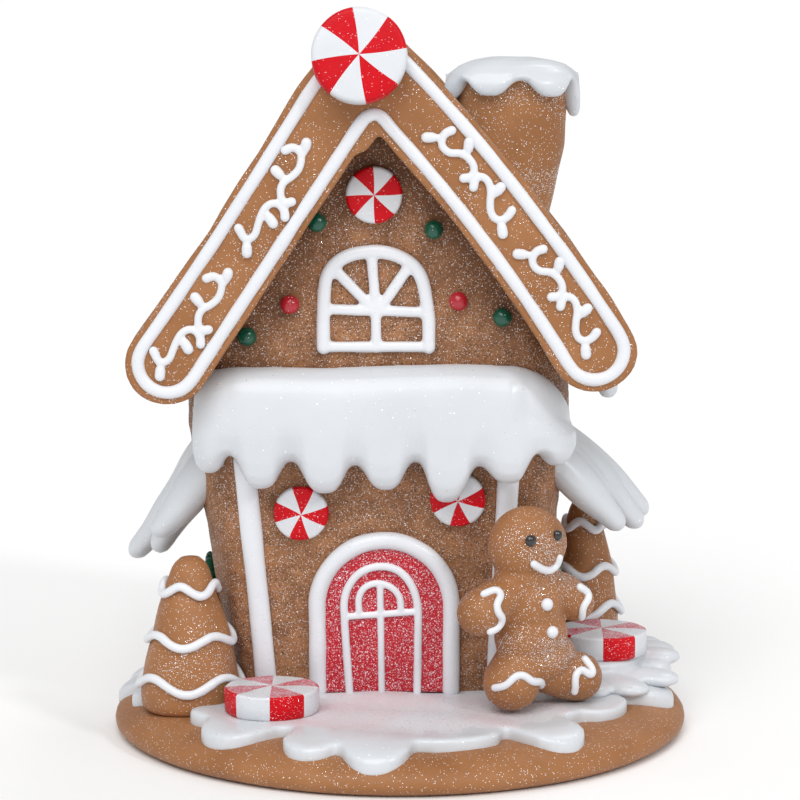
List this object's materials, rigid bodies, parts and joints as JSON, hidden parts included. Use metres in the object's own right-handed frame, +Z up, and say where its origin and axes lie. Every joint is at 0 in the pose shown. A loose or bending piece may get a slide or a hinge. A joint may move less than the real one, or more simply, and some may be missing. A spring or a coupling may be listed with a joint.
{
  "type": "gingerbread house",
  "caption": "Steep-roofed gingerbread house decoration with snow icing, arched door, peppermint sweets, trees and a gingerbread man on a round base.",
  "frame": {"origin": "centre of the round base's underside", "axes": "+Z up, the door faces -Y, +X to the right of someone who looks at the door"},
  "size_m": [0.186, 0.186, 0.2321],
  "materials": {
    "gingerbread": "baked gingerbread-brown modelling clay, matte, lightly dusted with clear glitter",
    "wall_bread": "darker gingerbread clay, grainy, thickly sprinkled with clear and dark glitter",
    "snow": "thick white royal-icing snow, smooth, satin, with a little clear glitter",
    "icing": "piped white icing, smooth satin",
    "peppermint": "white sweet with red wedges covered in fine glitter",
    "red_sugar": "red with fine clear sugar glitter",
    "green_sugar": "dark green, glossy",
    "black_bead": "black glossy bead"
  },
  "bodies": {
    "root": {"base": "gingerbread", "gable_band_front": "gingerbread", "gable_band_back": "gingerbread", "roof_left": "gingerbread", "roof_right": "gingerbread", "chimney": "gingerbread", "tree_left": "gingerbread", "tree_right": "gingerbread", "gingerbread_man": "gingerbread", "house_body": "wall_bread", "ground_icing": "snow", "snow_mound": "snow", "roof_snow_left": "snow", "roof_snow_right": "snow", "chimney_snow": "snow", "awning_front": "snow", "awning_back": "snow", "awning_left": "snow", "awning_right": "snow", "gable_piping_front": "icing", "vine_left_upper": "icing", "vine_left_lower": "icing", "vine_right_upper": "icing", "vine_right_lower": "icing", "attic_window": "icing", "door_frame": "icing", "door_icing": "icing", "corner_strip_left": "icing", "corner_strip_right": "icing", "man_smile": "icing", "man_button_upper": "icing", "man_button_lower": "icing", "man_cuff_left": "icing", "man_cuff_right": "icing", "man_ankle_left": "icing", "man_ankle_right": "icing", "tree_left_icing_low": "icing", "tree_left_icing_middle": "icing", "tree_left_icing_high": "icing", "tree_right_icing_low": "icing", "tree_right_icing_middle": "icing", "tree_right_icing_high": "icing", "candy_top": "peppermint", "candy_gable": "peppermint", "candy_wall_left": "peppermint", "candy_wall_right": "peppermint", "candy_ground_left": "peppermint", "candy_ground_right": "peppermint", "door_panel": "red_sugar", "pearl_red_left": "red_sugar", "pearl_red_right": "red_sugar", "pearl_green_upper_left": "green_sugar", "pearl_green_upper_right": "green_sugar", "pearl_green_lower_left": "green_sugar", "pearl_green_lower_right": "green_sugar", "wreath_left": "green_sugar", "wreath_right": "green_sugar", "man_eye_left": "black_bead", "man_eye_right": "black_bead"}
  },
  "joints": []
}
